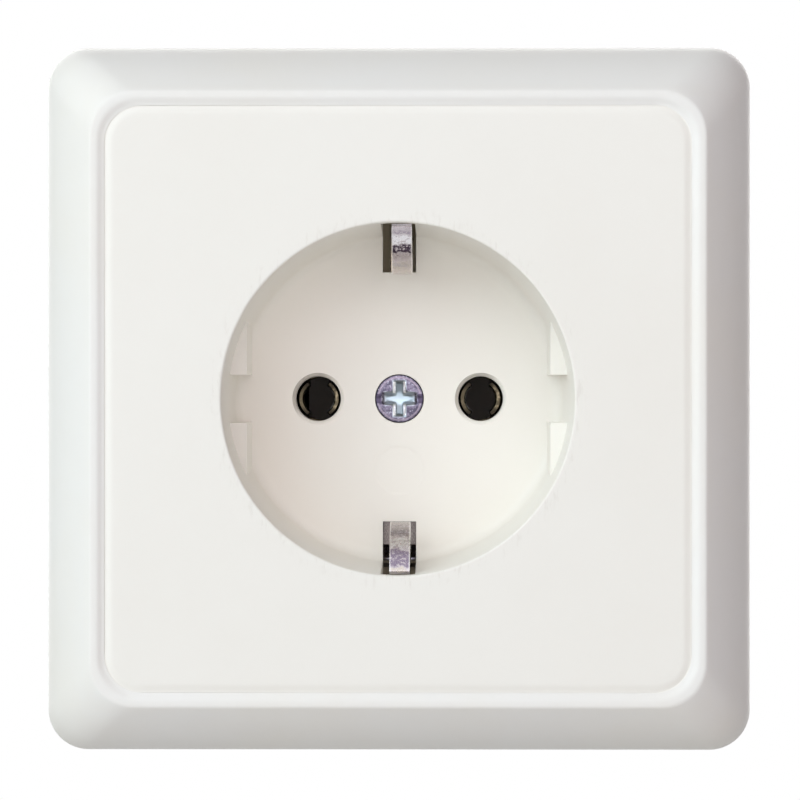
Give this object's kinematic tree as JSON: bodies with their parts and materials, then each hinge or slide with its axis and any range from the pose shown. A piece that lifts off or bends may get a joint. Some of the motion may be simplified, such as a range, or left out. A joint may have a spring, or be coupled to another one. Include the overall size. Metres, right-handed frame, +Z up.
{
  "type": "type f wall socket",
  "caption": "Flush wall socket with a round recessed well, sprung earth clips, a square cover frame with a raised bead, and an insulating base on a steel support ring.",
  "frame": {"origin": "on the axis of the round well, in the plane of the wall, midway between the two slots for the screws of the wall box", "axes": "+X to the right as seen from the room, +Y into the wall, +Z up"},
  "size_m": [0.0804, 0.0424, 0.0804],
  "materials": {
    "frame_plastic": "satin, moulded",
    "plate_plastic": "satin, moulded",
    "base_plastic": "matt, moulded",
    "cover_plastic": "matt, moulded",
    "zinc_steel": "zinc plated",
    "plated_strap": "nickel plated",
    "ring_steel": "zinc plated sheet",
    "spring_steel": "blank",
    "brass": "stamped",
    "rivet_metal": "formed"
  },
  "bodies": {
    "root": {"cover_frame": "frame_plastic", "centre_plate": "plate_plastic", "centre_screw": "zinc_steel", "screw_bush": "brass", "earth_strap": "plated_strap", "support_ring": "ring_steel", "base_housing": "base_plastic", "rear_cover": "cover_plastic", "right_contact": "brass", "left_contact": "brass", "right_contact_spring": "spring_steel", "left_contact_spring": "spring_steel", "right_terminal_screw": "zinc_steel", "left_terminal_screw": "zinc_steel", "earth_terminal_screw": "zinc_steel", "right_clamp_plate": "zinc_steel", "left_clamp_plate": "zinc_steel", "earth_clamp_plate": "zinc_steel", "upper_rivet": "rivet_metal", "lower_rivet": "rivet_metal", "upper_cover_screw": "zinc_steel", "lower_cover_screw": "zinc_steel"}
  },
  "joints": []
}
